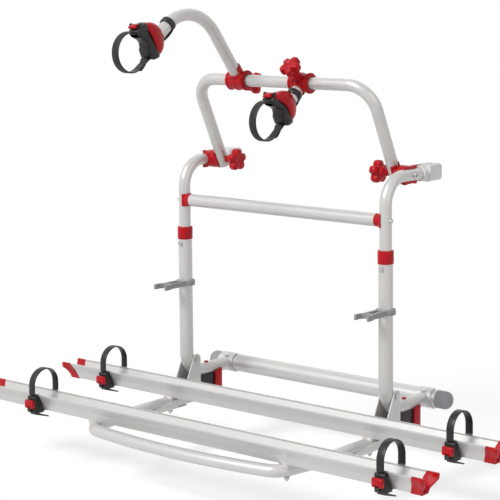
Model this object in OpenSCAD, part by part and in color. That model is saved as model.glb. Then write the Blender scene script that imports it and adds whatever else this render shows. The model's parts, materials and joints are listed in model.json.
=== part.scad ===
// Two-bicycle carrier for the rear wall of a motorhome.
// X runs along the wheel rails, +Y points at the vehicle wall, +Z is up.
// The origin lies on the wall face, midway between the two upper brackets.

/* [Frame] */
// Distance between the axes of the two posts
post_span = 604; // [520:1:680]
// Distance from the post axis to the vehicle wall
wall_gap = 188; // [180:1:220]
// Height of the upper brackets above the lower crossbar
frame_drop = 525; // [500:1:560]
// Outer diameter of the upper posts and of the top hoop
post_d = 28; // [26:0.5:30]
// Wall of the upper posts, hoops and arm tubes
tube_wall = 2; // [1.5:0.1:2.5]
// Outer diameter of the lower posts
lower_d = 33; // [32:0.5:36]
// Play between an upper post and the lower post around it, on the radius
slide_play = 0.06; // [0.03:0.01:0.1]
// Centreline radius of the bend at the top of an upper post
top_bend_r = 62; // [50:1:66]
// Centreline radius of the bend at the foot of a lower post
foot_bend_r = 55; // [45:1:60]
// Length of upper post inside the lower post
insert_depth = 180; // [160:1:200]

/* [Cross tube] */
// Outer diameter of the cross tube between the posts
cross_d = 30; // [26:0.5:32]
// Height of the cross tube below the wall brackets
cross_drop = 93; // [90:1:105]
// Visible length of each plastic end fitting
cross_end_len = 10; // [8:1:16]

/* [Wall brackets] */
// Width of a wall bracket
bracket_w = 44; // [40:1:52]
// Depth of a wall bracket off the wall
bracket_depth = 46; // [40:1:54]
// Height of a wall bracket
bracket_h = 38; // [36:1:46]
// Distance between the two bolts of one bracket
bracket_bolt_pitch = 22; // [20:0.5:24]
// Core diameter of the wall bolt holes
wall_bolt_d = 6.6; // [6:0.1:7]
// Depth of the wall bolt holes
wall_bolt_depth = 16; // [12:1:17]

/* [Lower crossbar] */
// Outer diameter of the lower crossbar
bar_d = 42; // [38:0.5:44]
// Length of the lower crossbar tube past the axis of each post
bar_overhang = 30; // [27:1:40]
// Length of each rounded end cap
bar_cap_len = 34; // [28:1:40]
// Distance from the post axis back to the crossbar axis
bar_setback = 166; // [160:1:166]

/* [Post fittings] */
// Height of a post collar
collar_h = 30; // [26:1:34]
// Height of the collar top below the wall brackets
collar_drop = 159; // [156:1:165]
// Wall of a post collar
collar_wall = 1.8; // [1.4:0.1:2.4]
// Height of the fork clips above the crossbar
clip_rise = 228; // [220:1:235]
// Thickness of a fork clip
clip_h = 12; // [10:1:14]
// Wall of a fork clip ring
clip_wall = 6; // [5:0.5:8]
// Thickness of a fork clip prong
prong_t = 5.5; // [5:0.5:6]

/* [Platform hinge] */
// Distance of the hinge pin behind the post axis
pivot_back = 15; // [14:0.5:16]
// Height of the hinge pin above the foot of the post
pivot_rise = 36; // [34:0.5:38]
// Diameter of the hinge pins
pivot_d = 8; // [7:0.5:9]
// Thickness of the hinge ears
ear_t = 3; // [2.5:0.1:3.5]
// Gap between an ear and the post
ear_gap = 0.5; // [0.4:0.05:0.8]
// Drop of the platform tube below the foot of the post
platform_drop = 58; // [57:0.5:60]
// Length of the socket under the platform tube, ahead of the post axis
socket_reach = 150; // [130:1:155]

/* [Platform hoop] */
// Diameter of the platform hoop tube
leg_d = 28; // [26:0.5:28]
// Distance from the post axis forward to the end of the hoop leg
leg_start = 50; // [48:1:52]
// Reach of the bowed front ahead of the post axis
hoop_reach = 374; // [370:1:384]
// Radius of the front corners of the hoop
corner_r = 42; // [38:1:48]
// Radius of the bowed front of the hoop
bow_r = 1500; // [1400:10:1600]
// Distance by which each leg runs inward to the front corner
leg_toe_in = 19; // [16:1:22]

/* [Rails] */
// Length of a wheel rail without its end caps
rail_len = 1256; // [1200:2:1300]
// Height of a wheel rail
rail_h = 39; // [36:1:40]
// Width of a rail across its lips
rail_top_w = 55; // [53:1:56]
// Width of the flat base of a rail
rail_base_w = 20; // [20:1:22]
// Wall of a rail
rail_wall = 2.2; // [1.8:0.1:2.4]
// Distance from the post axis forward to the rear rail
rear_rail_reach = 61; // [61:0.5:62]
// Distance between the two rails
rail_pitch = 266; // [262:1:268]
// Height of the curved saddles between tube and rail
saddle_h = 2; // [1.5:0.5:3]
// Length over which an end cap covers the rail at its base
cap_cover = 20; // [16:1:24]
// Length by which an end cap stands past the rail at its base
cap_past = 8; // [6:1:12]
// Lean of the end faces of a cap, top outward
cap_lean = 14; // [10:1:16]
// Wall that an end cap adds outside the rail
cap_wall = 1.6; // [1.2:0.1:2]

/* [Wheel straps] */
// Width of a wheel strap
strap_w = 18; // [16:1:20]
// Thickness of a strap
strap_t = 2.6; // [2.2:0.1:3]
// Outer radius of the arch of a wheel strap
arch_r = 38; // [36:1:40]
// Height of the arch centre above the base of the rail
arch_rise = 59; // [52:1:64]
// Gap between a strap and the rail
strap_gap = 0.6; // [0.5:0.1:1]
// Place of the left strap of the front rail
strap_front_left_x = -458; // [-480:1:-420]
// Place of the right strap of the front rail
strap_front_right_x = 553; // [500:1:556]
// Place of the left strap of the rear rail
strap_rear_left_x = -494; // [-520:1:-440]
// Place of the right strap of the rear rail
strap_rear_right_x = 540; // [480:1:550]
// Width of a strap buckle
buckle_w = 25; // [24:1:28]

/* [Top hoop] */
// Distance of the tilt axis behind the post axis
tilt_back = 93; // [90:1:96]
// Distance of a hoop leg inside the post beside it
leg_inset = 41.5; // [40:0.5:43]
// Height of the hoop bar above the tilt axis, along the legs
top_hoop_h = 224; // [210:1:240]
// Lean of the hoop forward from upright at rest
top_hoop_lean = 24.7; // [22:0.1:27]
// Centreline radius of the corners of the top hoop
top_corner_r = 62; // [55:1:70]
// Diameter of the tilt bolts
tilt_bolt_d = 8; // [7:0.5:9]

/* [Clamp arms] */
// Place of the long arm along the hoop bar
long_arm_x = -121; // [-130:1:-100]
// Place of the short arm along the hoop bar
short_arm_x = 68; // [60:1:90]
// Slope of the long arm where it leaves the bar
long_slope = 52.5; // [50:0.5:56]
// Length of the long arm tube before its bend
long_straight = 142; // [132:1:150]
// Centreline radius of the bend of the long arm
long_bend_r = 113; // [105:1:120]
// Length of the long arm tube past its bend
long_tail = 32; // [31:1:36]
// Slope of the short arm below level
short_slope = 41; // [36:0.5:44]
// Length of the short arm tube from the bar axis
short_len = 56; // [52:1:62]
// Turn of the frame clamp head up from its tube
head_tilt = 14; // [10:1:18]
// Width of a frame clamp head
head_w = 44; // [40:1:46]
// Width of the strap of a frame clamp head
head_strap_w = 20; // [18:1:22]
// Outer radius of the strap loop of a frame clamp head
loop_r = 45; // [43:1:46]
// Width of the clamp body on the hoop bar
clamp_w = 50; // [46:1:54]
// Outer diameter of a star knob
knob_d = 48; // [44:1:50]

/* [Hidden] */
$fn = 64;

alu = "#d2d0cc";
cool_grey = "#9a9aa4";
red = "#c8202c";
black = "#35322f";
white = "#efefec";
steel = "#b4b4b6";

// Overrun of every cut past the face that it opens
over = 1;
// Play of a turning fit on the radius
turn_play = 0.05;
// Gap between neighbours that move against each other
move_gap = 0.4;
// Lap of a straight run over the bend beside it, and how much slimmer the bend is
lap = 0.05;
hoop_slim = 0.01;

post_r = post_d / 2;
lower_r = lower_d / 2;
post_x = post_span / 2;
post_y = -wall_gap;
bar_z = -frame_drop;
bar_r = bar_d / 2;
bar_y = post_y + bar_setback;
bar_len = post_span + 2 * bar_overhang;
leg_r = leg_d / 2;
platform_z = bar_z - platform_drop;
pivot_y = post_y + pivot_back;
pivot_z = bar_z + pivot_rise;
rail_z = platform_z + leg_r + saddle_h;
rear_rail_y = post_y - rear_rail_reach;
front_rail_y = rear_rail_y - rail_pitch;

// A round bar or tube along +Z that runs straight or bends towards +X.
// A step is [length] or [bend radius, angle]; ext lengthens both ends of a bar.
// With slim, bends are that much slimmer (fatter if negative), and the straights lap over them.
module run(r, steps, ext = 0, bore = 0, slim = 0, i = 0) {
    if (i == 0 && ext > 0)
        translate([0, 0, -ext]) cylinder(h = ext, r = r);
    if (i < len(steps)) {
        step = steps[i];
        if (len(step) == 1) {
            lap_in = slim != 0 && i > 0 ? lap : 0;
            lap_out = slim != 0 && i < len(steps) - 1 ? lap : 0;
            translate([0, 0, -lap_in])
                linear_extrude(height = step[0] + lap_in + lap_out) ring(r, bore);
            translate([0, 0, step[0]]) run(r, steps, ext, bore, slim, i + 1);
        } else {
            bend = step[0];
            turn = step[1];
            translate([bend, 0, 0]) mirror([1, 0, 0]) rotate([90, 0, 0])
                rotate_extrude(angle = turn) translate([bend, 0])
                    ring(r - slim, bore > 0 ? bore + slim : 0);
            translate([bend - bend * cos(turn), 0, bend * sin(turn)])
                rotate([0, turn, 0]) run(r, steps, ext, bore, slim, i + 1);
        }
    } else if (ext > 0)
        cylinder(h = ext, r = r);
}

module ring(r, bore) {
    difference() {
        circle(r = r);
        if (bore > 0) circle(r = bore);
    }
}

// A tube along the same kind of path
module pipe(r, wall, steps) {
    run(r, steps, 0, r - wall);
}

// A cylinder along X or along Y, centred unless told otherwise
module x_rod(r, h, center = true) {
    rotate([0, 90, 0]) cylinder(h = h, r = r, center = center);
}
module y_rod(r, h, center = true) {
    rotate([-90, 0, 0]) cylinder(h = h, r = r, center = center);
}

// A side outline, Y across and Z up, given thickness along X
module side_plate(w) {
    rotate([90, 0, 90]) linear_extrude(height = w, center = true) children();
}

// The right-hand piece, or its mirror image on the left
module on_side(side) {
    mirror([side < 0 ? 1 : 0, 0, 0]) children();
}

// Upper frame

// Straight length of the top run between its bend and the bracket socket
tube_stop = 18;
top_run = wall_gap - top_bend_r - tube_stop;
upper_end_z = -collar_drop - insert_depth;
cross_screw_r = 3;
tilt_y = post_y + tilt_back;
tilt_bolt_r = tilt_bolt_d / 2;

module upper_post(side) {
    color(alu) on_side(side) difference() {
        translate([post_x, post_y, upper_end_z]) rotate([0, 0, 90])
            pipe(post_r, tube_wall, [[-top_bend_r - upper_end_z], [top_bend_r, 90], [top_run]]);
        translate([post_x, post_y, -cross_drop]) x_rod(cross_screw_r, post_d + 2 * over);
        translate([post_x, tilt_y, 0]) x_rod(tilt_bolt_r, post_d + 2 * over);
    }
}

cross_half = post_x - post_r - cross_end_len;
cross_wall = 2;

module cross_tube() {
    color(alu) translate([0, post_y, -cross_drop]) difference() {
        x_rod(cross_d / 2, 2 * cross_half);
        x_rod(cross_d / 2 - cross_wall, 2 * cross_half + 2 * over);
    }
}

cross_plug_len = 24;
cross_hug_t = 3;
// Distance by which the fitting reaches round the post past its inner side
cross_hug_reach = 10;

module cross_tube_end(side) {
    on_side(side) translate([post_x, post_y, -cross_drop]) difference() {
        union() {
            translate([-post_r - cross_end_len - cross_plug_len, 0, 0])
                x_rod(cross_d / 2 - cross_wall, cross_plug_len + cross_end_len, false);
            translate([-post_r - cross_end_len, 0, 0])
                x_rod(cross_d / 2, post_r + cross_end_len - (post_r - cross_hug_reach), false);
            intersection() {
                cylinder(h = cross_d, r = post_r + cross_hug_t, center = true);
                translate([-2 * post_r + cross_hug_reach - post_r, 0, 0])
                    cube([4 * post_r, 4 * post_r, 2 * cross_d], center = true);
            }
        }
        cylinder(h = 2 * cross_d, r = post_r, center = true);
        translate([-post_r - cross_end_len - cross_plug_len - over, 0, 0])
            x_rod(cross_screw_r, post_r + cross_end_len + cross_plug_len + over, false);
    }
}

module cross_tube_ends() {
    color(red) for (side = [-1, 1]) cross_tube_end(side);
}

bracket_edge_r = 8;
// Collar of a bracket round the tube, and the screw through its outer side
bracket_collar_t = 4;
bracket_collar_len = 14;
bracket_screw_y = -bracket_depth - bracket_collar_len / 2;

module wall_bracket(side) {
    color(white) on_side(side) translate([post_x, 0, 0]) difference() {
        union() {
            translate([0, -bracket_depth, 0]) rotate([-90, 0, 0])
                linear_extrude(height = bracket_depth) rounded_box(bracket_w, bracket_h, bracket_edge_r);
            translate([0, -bracket_depth - bracket_collar_len, 0])
                y_rod(post_r + bracket_collar_t, bracket_collar_len + over, false);
        }
        translate([0, -bracket_depth - bracket_collar_len - over, 0])
            y_rod(post_r, bracket_depth + bracket_collar_len + over - tube_stop, false);
        translate([0, bracket_screw_y, 0]) x_rod(cross_screw_r, 2 * post_d, false);
        for (s = [-1, 1]) translate([0, -wall_bolt_depth, s * bracket_bolt_pitch / 2])
            y_rod(wall_bolt_d / 2, wall_bolt_depth + over, false);
    }
}

// A rectangle with round corners, from exact shapes
module rounded_box(w, h, r) {
    square([w - 2 * r, h], center = true);
    square([w, h - 2 * r], center = true);
    for (sx = [-1, 1], sy = [-1, 1])
        translate([sx * (w / 2 - r), sy * (h / 2 - r)]) circle(r = r);
}

clamp_hug_r = post_r + 6;
clamp_hug_len = 46;
tilt_boss_r = 21;
hoop_leg_x = post_x - leg_inset;
// Face where the frame clamp meets the hoop leg end
tilt_face_x = hoop_leg_x + post_r + 1;

// Distance by which a frame clamp reaches round the tube past its axis
clamp_grasp = 4;
clamp_rim = 1.5;
clamp_band = 8;

module frame_clamp(side) {
    color(red) on_side(side) translate([0, tilt_y, 0]) difference() {
        union() {
            translate([post_x, 0, 0]) y_rod(clamp_hug_r, clamp_hug_len);
            translate([tilt_face_x, 0, 0]) x_rod(tilt_boss_r, post_x - tilt_face_x, false);
            for (s = [-1, 1]) translate([post_x, s * (clamp_hug_len - clamp_band) / 2, 0])
                y_rod(clamp_hug_r + clamp_rim, clamp_band);
        }
        translate([post_x, 0, 0]) y_rod(post_r, clamp_hug_len + 2 * over);
        translate([post_x + clamp_grasp + post_d, 0, 0])
            cube([2 * post_d, 2 * clamp_hug_len, 2 * clamp_hug_len], center = true);
        translate([tilt_face_x - over, 0, 0]) x_rod(tilt_bolt_r, 2 * leg_inset, false);
    }
}

tilt_head_r = 7;
tilt_head_t = 5;
hex_socket_r = 4;
hex_sides = 6;
knob_h = 26;
leg_end_wall = 5;
knob_face_x = hoop_leg_x - post_r - leg_end_wall - move_gap;
screw_head_t = 3;
screw_head_r = 5.5;

module upper_frame_bolts() {
    color(steel) for (side = [-1, 1]) on_side(side) {
        translate([knob_face_x - knob_h, tilt_y, 0])
            x_rod(tilt_bolt_r, post_x - knob_face_x + knob_h, false);
        translate([post_x, tilt_y, 0]) difference() {
            union() {
                x_rod(tilt_bolt_r, post_r, false);
                difference() {
                    x_rod(tilt_head_r, post_r + tilt_head_t, false);
                    y_rod(post_r, 4 * tilt_head_r);
                }
            }
            translate([post_r + tilt_head_t / 2, 0, 0]) rotate([0, 90, 0])
                cylinder(h = tilt_head_t, r = hex_socket_r, $fn = hex_sides);
        }
        translate([post_x, bracket_screw_y, 0]) {
            difference() {
                x_rod(screw_head_r, post_r + bracket_collar_t + screw_head_t, false);
                y_rod(post_r + bracket_collar_t, 4 * screw_head_r);
            }
            difference() {
                x_rod(cross_screw_r, post_r + bracket_collar_t, false);
                y_rod(post_r, 4 * screw_head_r);
            }
        }
        translate([post_x - post_r - cross_end_len - cross_plug_len, post_y, -cross_drop])
            x_rod(cross_screw_r, 2 * post_r + cross_end_len + cross_plug_len, false);
        translate([post_x, post_y, -cross_drop]) difference() {
            x_rod(screw_head_r, post_r + screw_head_t, false);
            cylinder(h = 4 * screw_head_r, r = post_r, center = true);
        }
    }
}

// Lower frame

collar_lip = 4;
lower_top_z = -collar_drop - collar_lip;
saddle_wall = 3;
saddle_w = 40;
bar_bolt_r = 3;
bar_bolt_head_t = 4;
bar_bolt_head_r = 5.5;
// Place of the bar bolt ahead of the crossbar axis
bar_bolt_lead = 18;
button_lead = 96;
button_r = 5;
collar_screw_drop = 40;
clamp_screw_r = 3;

module lower_post(side) {
    color(alu) on_side(side) translate([post_x, 0, 0]) difference() {
        union() {
            translate([0, post_y, lower_top_z]) rotate([180, 0, 0]) rotate([0, 0, -90])
                run(lower_r, [[lower_top_z - bar_z - foot_bend_r], [foot_bend_r, 90],
                              [bar_setback - foot_bend_r]]);
            translate([0, bar_y, bar_z]) intersection() {
                x_rod(bar_r + saddle_wall, saddle_w);
                translate([0, -2 * bar_r, 0]) cube([2 * bar_d, 4 * bar_r, 4 * bar_r], center = true);
            }
        }
        translate([0, post_y, lower_top_z]) rotate([180, 0, 0]) rotate([0, 0, -90])
            run(post_r + slide_play, [[lower_top_z - bar_z - foot_bend_r], [foot_bend_r, 90],
                                      [bar_setback - foot_bend_r]], over);
        translate([0, bar_y, bar_z]) x_rod(bar_r, saddle_w + 2 * over);
        translate([0, pivot_y, pivot_z]) x_rod(pivot_d / 2, lower_d + 2 * over);
        translate([0, bar_y - bar_bolt_lead, bar_z]) cylinder(h = 2 * bar_d, r = bar_bolt_r);
        translate([0, bar_y - button_lead, bar_z]) cylinder(h = bar_d, r = button_r);
        translate([0, post_y - lower_d, -collar_drop - collar_screw_drop])
            y_rod(clamp_screw_r, lower_d, false);
    }
}

bar_wall = 2;

module lower_crossbar() {
    color(alu) translate([0, bar_y, bar_z]) difference() {
        x_rod(bar_r, bar_len);
        x_rod(bar_r - bar_wall, bar_len + 2 * over);
        for (side = [-1, 1]) translate([side * post_x, -bar_bolt_lead, 0])
            cylinder(h = bar_d, r = bar_bolt_r);
    }
}

bar_cap_inset = 0.3;
bar_cap_edge_r = 15;
bar_plug_len = 20;

module crossbar_caps() {
    cap_r = bar_r - bar_cap_inset;
    color(cool_grey) for (side = [-1, 1]) on_side(side)
        translate([bar_len / 2, bar_y, bar_z]) rotate([0, 90, 0]) {
            rotate_extrude() {
                square([cap_r, bar_cap_len - bar_cap_edge_r]);
                square([cap_r - bar_cap_edge_r, bar_cap_len]);
                translate([cap_r - bar_cap_edge_r, bar_cap_len - bar_cap_edge_r])
                    intersection() {
                        circle(r = bar_cap_edge_r);
                        square(bar_cap_edge_r);
                    }
            }
            translate([0, 0, -bar_plug_len]) cylinder(h = bar_plug_len, r = bar_r - bar_wall);
        }
}

collar_lip_play = 0.2;

module post_collars() {
    color(red) for (side = [-1, 1])
        translate([side * post_x, post_y, -collar_drop - collar_h]) difference() {
            cylinder(h = collar_h, r = lower_r + collar_wall);
            translate([0, 0, -over]) cylinder(h = collar_h - collar_lip + over, r = lower_r);
            cylinder(h = collar_h + over, r = post_r + slide_play + collar_lip_play);
        }
}

screw_dome_r = 6;
screw_dome_h = 3.2;

module lower_frame_screws() {
    color(steel) for (side = [-1, 1]) {
        translate([side * post_x, post_y, -collar_drop - collar_screw_drop]) {
            difference() {
                translate([0, -lower_r - screw_dome_h, 0]) y_rod(screw_dome_r, lower_r, false);
                cylinder(h = 4 * screw_dome_r, r = lower_r, center = true);
            }
            difference() {
                translate([0, -lower_r, 0]) y_rod(clamp_screw_r, lower_r, false);
                cylinder(h = 4 * screw_dome_r, r = post_r + slide_play, center = true);
            }
        }
        translate([side * post_x, bar_y, bar_z]) {
            difference() {
                translate([0, -bar_bolt_lead, 0])
                    cylinder(h = lower_r + bar_bolt_head_t, r = bar_bolt_head_r);
                y_rod(lower_r, 2 * bar_d);
                x_rod(bar_r + saddle_wall, 2 * saddle_w);
            }
            translate([0, -bar_bolt_lead, 0]) intersection() {
                cylinder(h = bar_d, r = bar_bolt_r);
                y_rod(lower_r, 2 * bar_d);
            }
        }
    }
}

// Distance from the hinge pin down to the platform tube, which the fork clip receives
fold_drop = pivot_z - platform_z;
cradle_y = pivot_y - fold_drop;
cradle_play = 0.4;
clip_z = bar_z + clip_rise;
// Length of the prongs past the middle of the cradle
prong_hook = 12;
clip_neck_w = 30;
clip_window_share = 0.45;

module fork_clip(side) {
    cradle_r = leg_r + cradle_play;
    outer_r = cradle_r + prong_t;
    neck_len = post_y - lower_r - (cradle_y + cradle_r);
    color(cool_grey) translate([side * post_x, 0, clip_z]) linear_extrude(height = clip_h, center = true)
        difference() {
            union() {
                translate([0, post_y]) circle(r = lower_r + clip_wall);
                translate([-clip_neck_w / 2, cradle_y]) square([clip_neck_w, post_y - cradle_y]);
                translate([0, cradle_y]) circle(r = outer_r);
                translate([-outer_r, cradle_y - prong_hook]) square([2 * outer_r, prong_hook]);
            }
            translate([0, post_y]) circle(r = lower_r);
            translate([0, cradle_y]) circle(r = cradle_r);
            translate([-cradle_r, cradle_y - 2 * outer_r]) square([2 * cradle_r, 2 * outer_r]);
            translate([-2 * outer_r, cradle_y - prong_hook - 2 * outer_r])
                square([4 * outer_r, 2 * outer_r]);
            translate([-clip_neck_w * clip_window_share / 2, cradle_y + cradle_r + prong_t])
                square([clip_neck_w * clip_window_share, neck_len - prong_t - clip_wall]);
        }
}

pin_head_r = 6.5;
pin_head_t = 2.5;
ear_in = lower_r + ear_gap;
ear_out = ear_in + ear_t;

module hinge_pins() {
    color(steel) for (side = [-1, 1]) translate([side * post_x, pivot_y, pivot_z]) {
        x_rod(pivot_d / 2, 2 * (ear_out + move_gap));
        for (s = [-1, 1]) translate([s * (ear_out + move_gap + pin_head_t / 2), 0, 0])
            x_rod(pin_head_r, pin_head_t);
    }
}

// Places of the latch along the stub, measured back from the post axis
latch_front = 28.4;
latch_back = 104;
latch_h = 21;
latch_hug = 8;
latch_pin_back = 84;
latch_pin_drop = 31;
latch_pin_r = 3;
latch_w = 36;
lever_slot_w = 12;

module latch_bodies() {
    color(black) for (side = [-1, 1]) translate([side * post_x, post_y, bar_z]) difference() {
        translate([0, 0, -lower_r]) side_plate(latch_w) polygon([
            [latch_front, latch_hug], [latch_front, -latch_h], [latch_front + latch_h, -latch_h],
            [latch_pin_back, -latch_h - latch_hug / 2], [latch_back, -latch_h], [latch_back, latch_hug]]);
        y_rod(lower_r, 2 * latch_back + 2 * over);
        translate([0, latch_pin_back, -latch_pin_drop])
            x_rod(latch_pin_r + turn_play, latch_w + 2 * over);
        translate([0, (latch_pin_back + latch_back + over) / 2, -lower_r - latch_h])
            cube([lever_slot_w + 2 * move_gap, latch_back - latch_pin_back + lever_slot_room, 2 * latch_h],
                 center = true);
    }
}
lever_slot_room = 18;

button_h = 3;

module latch_buttons() {
    color(red) for (side = [-1, 1])
        translate([side * post_x, bar_y - button_lead, bar_z]) {
            intersection() {
                cylinder(h = bar_d, r = button_r);
                difference() {
                    translate([0, 0, lower_r / 2]) cylinder(h = lower_r / 2 + button_h, r = button_r);
                    y_rod(post_r + slide_play, bar_d);
                }
            }
        }
}

lever_plate_t = 4;
lever_bottom = 26;
lever_lead = 4;
lever_trail = 20;
lever_slant = 7;

// The red latch lever: a pin through the body, a tongue in its slot and the plate outside
module latch_lever(side) {
    plate_x = latch_w / 2 + move_gap;
    color(red) translate([side * post_x, post_y + latch_pin_back, bar_z - latch_pin_drop]) {
        translate([plate_x + lever_plate_t / 2, 0, 0]) side_plate(lever_plate_t) polygon([
            [-lever_lead, latch_pin_drop - lever_slant], [lever_trail, latch_pin_drop],
            [lever_trail, -lever_bottom + latch_hug], [lever_trail - lever_slant, -lever_bottom],
            [-lever_lead, -lever_bottom + lever_slant]]);
        translate([-latch_w / 2, 0, 0]) x_rod(latch_pin_r, latch_w / 2 + plate_x + over, false);
        side_plate(lever_slot_w) union() {
            circle(r = latch_pin_r + lever_plate_t / 2);
            translate([0, -lever_plate_t]) square([lever_trail, lever_plate_t]);
        }
    }
}

// Platform

// Outline of a hinge ear and of the socket ahead of it, measured from the post axis and the foot
ear_crown_r = 13;
ear_front_low = 36;
ear_back = 28;
ear_floor = 78;
socket_wall = 5.5;
socket_lip_rear = 50;
socket_lip_front = 64;
socket_end_back = 16;

module bracket_outline() {
    crown = [pivot_back, pivot_rise];
    translate(crown) circle(r = ear_crown_r);
    polygon([[pivot_back - ear_crown_r, pivot_rise], [ear_back, pivot_rise],
             [ear_back, -ear_floor + ear_crown_r],
             [ear_back - ear_crown_r, -ear_floor - socket_wall / 2],
             [-socket_end_back, -platform_drop - leg_r - socket_wall],
             [-socket_reach, -platform_drop - leg_r - socket_wall],
             [-socket_reach, -socket_lip_front], [-ear_front_low - leg_r, -socket_lip_rear],
             [-ear_front_low, -socket_lip_rear + socket_wall]]);
}

rail_bolt_r = 3;

module hinge_bracket(side) {
    color(alu) on_side(side) translate([post_x, post_y, bar_z]) difference() {
        intersection() {
            side_plate(2 * ear_out) bracket_outline();
            union() {
                translate([0, 0, -platform_drop]) y_rod(ear_out, 4 * socket_reach);
                translate([0, 0, frame_drop - platform_drop])
                    cube([2 * ear_out, 4 * socket_reach, 2 * frame_drop], center = true);
            }
        }
        translate([0, -leg_start + frame_drop, 0])
            cube([2 * ear_in, 2 * frame_drop, 2 * frame_drop], center = true);
        translate([0, -socket_reach, -platform_drop]) y_rod(leg_r, 4 * socket_reach);
        translate([0, -socket_reach, 0])
            cube([2 * leg_r, 4 * socket_reach, 2 * platform_drop], center = true);
        translate([0, pivot_back, pivot_rise]) x_rod(pivot_d / 2 + turn_play, 4 * ear_out);
        translate([0, -rear_rail_reach, -2 * frame_drop]) cylinder(h = 2 * frame_drop, r = rail_bolt_r);
    }
    color(alu) on_side(side) translate([post_x, post_y, bar_z]) intersection() {
        side_plate(2 * ear_in) polygon([
            [-leg_start, -platform_drop - leg_r - socket_wall], [-leg_start, -platform_drop - leg_r],
            [-socket_end_back, -platform_drop - leg_r],
            [-socket_end_back, -platform_drop - leg_r - socket_wall]]);
        translate([0, 0, -platform_drop]) y_rod(ear_out, 4 * socket_reach);
    }
}

// The platform hoop runs from the left leg end forward, turns in a little, rounds the
// corner, follows the bowed front and comes back the same way on the right
toe_start = 190;
toe_bend_r = 150;
front_rail_reach = rear_rail_reach + rail_pitch;
toe_run = front_rail_reach - toe_start - corner_r / 2;
toe_angle = atan(leg_toe_in / toe_run);
toe_straight = toe_run / cos(toe_angle) - 2 * toe_bend_r * tan(toe_angle / 2);

function toe_point(a) = [post_x - toe_bend_r * (1 - cos(a)), toe_start + toe_bend_r * sin(a)];
// Centre of the corner arc, and the bow that touches it, solved from the reach
toe_end = toe_point(toe_angle);
straight_end = [toe_end[0] - toe_straight * sin(toe_angle), toe_end[1] + toe_straight * cos(toe_angle)];
corner_c = [straight_end[0] - corner_r * cos(toe_angle), straight_end[1] - corner_r * sin(toe_angle)];
bow_turn = asin(corner_c[0] / (bow_r - corner_r));
bow_y = corner_c[1] - (bow_r - corner_r) * cos(bow_turn) + bow_r;
// Run that is added to the first straight so that the bow ends at the wanted reach
reach_fix = hoop_reach - bow_y;

function hoop_steps() = [
    [toe_start + reach_fix - leg_start],
    [toe_bend_r, toe_angle],
    [toe_straight],
    [corner_r, 90 - toe_angle - bow_turn],
    [0],
    [bow_r, 2 * bow_turn],
    [0],
    [corner_r, 90 - toe_angle - bow_turn],
    [toe_straight],
    [toe_bend_r, toe_angle],
    [toe_start + reach_fix - leg_start]];

module hoop_run(bore, slim) {
    translate([-post_x, post_y - leg_start, platform_z]) rotate([90, 0, 0])
        run(leg_r, hoop_steps(), 0, bore, slim);
}

module platform_hoop() {
    color(alu) difference() {
        hoop_run(leg_r - tube_wall, hoop_slim);
        for (side = [-1, 1]) {
            translate([side * post_x, rear_rail_y, platform_z])
                cylinder(h = 2 * leg_d, r = rail_bolt_r, center = true);
            translate([side * front_bolt_x, front_rail_y, platform_z])
                cylinder(h = 2 * leg_d, r = rail_bolt_r, center = true);
        }
    }
}
// Place of the front rail bolts, on the leg where it passes under the rail
front_bolt_x = toe_end[0] - (front_rail_reach - reach_fix - toe_end[1]) * tan(toe_angle);

// Outline of a rail section, Y across and Z up: half widths at the base, the kink and the lip
rail_kink_share = 0.46;
rail_kink_w_share = 0.58;
rail_kink_h = rail_h * rail_kink_share;
rail_kink_w = rail_top_w * rail_kink_w_share;
rail_lip_h = 3;
rail_lip_t = 3.4;

function rail_outer(g) = [
    [-rail_base_w / 2 - g, -g], [rail_base_w / 2 + g, -g], [rail_kink_w / 2 + g, rail_kink_h],
    [rail_top_w / 2 + g, rail_h - rail_lip_h], [rail_top_w / 2 + g, rail_h],
    [-rail_top_w / 2 - g, rail_h], [-rail_top_w / 2 - g, rail_h - rail_lip_h],
    [-rail_kink_w / 2 - g, rail_kink_h]];
function rail_inner(g) = [
    [-rail_base_w / 2 + g, rail_wall], [rail_base_w / 2 - g, rail_wall],
    [rail_kink_w / 2 - rail_wall - g, rail_kink_h],
    [rail_top_w / 2 - rail_lip_t - g, rail_h - rail_lip_h],
    [rail_top_w / 2 - rail_lip_t - g, rail_h + over],
    [-rail_top_w / 2 + rail_lip_t + g, rail_h + over],
    [-rail_top_w / 2 + rail_lip_t + g, rail_h - rail_lip_h],
    [-rail_kink_w / 2 + rail_wall + g, rail_kink_h]];

module rail_section() {
    difference() {
        polygon(rail_outer(0));
        polygon(rail_inner(0));
    }
}

module rail(y, bolt_x) {
    color(alu) difference() {
        translate([0, y, rail_z]) side_plate(rail_len) rail_section();
        for (side = [-1, 1]) translate([side * bolt_x, y, rail_z])
            cylinder(h = 4 * rail_wall, r = rail_bolt_r, center = true);
    }
}

cap_tongue = 1.4;

// One end cap: a sleeve round the rail, with leaning ends and a floor that shuts the trough
module rail_cap() {
    rail_end = rail_len / 2;
    base_in = rail_end - cap_cover;
    base_out = rail_end + cap_past;
    difference() {
        intersection() {
            translate([rail_end, 0, 0]) side_plate(4 * rail_top_w) polygon(rail_outer(cap_wall));
            rotate([90, 0, 0]) linear_extrude(height = 2 * rail_top_w, center = true)
                polygon([[base_in, -cap_wall], [base_out, -cap_wall],
                         [base_out + cap_lean, rail_h], [base_in + cap_lean, rail_h]]);
        }
        translate([base_in, 0, 0]) side_plate(2 * cap_cover) rail_section();
        translate([rail_end, 0, 0]) side_plate(4 * rail_top_w) polygon(rail_inner(cap_tongue));
    }
}

module rail_end_caps() {
    color(red) for (y = [front_rail_y, rear_rail_y], side = [-1, 1])
        on_side(side) translate([0, y, rail_z]) rail_cap();
}

rail_head_r = 7;
rail_head_h = 3;
nut_r = 6.5;
nut_h = 5;
bolt_tip = 4;

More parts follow.
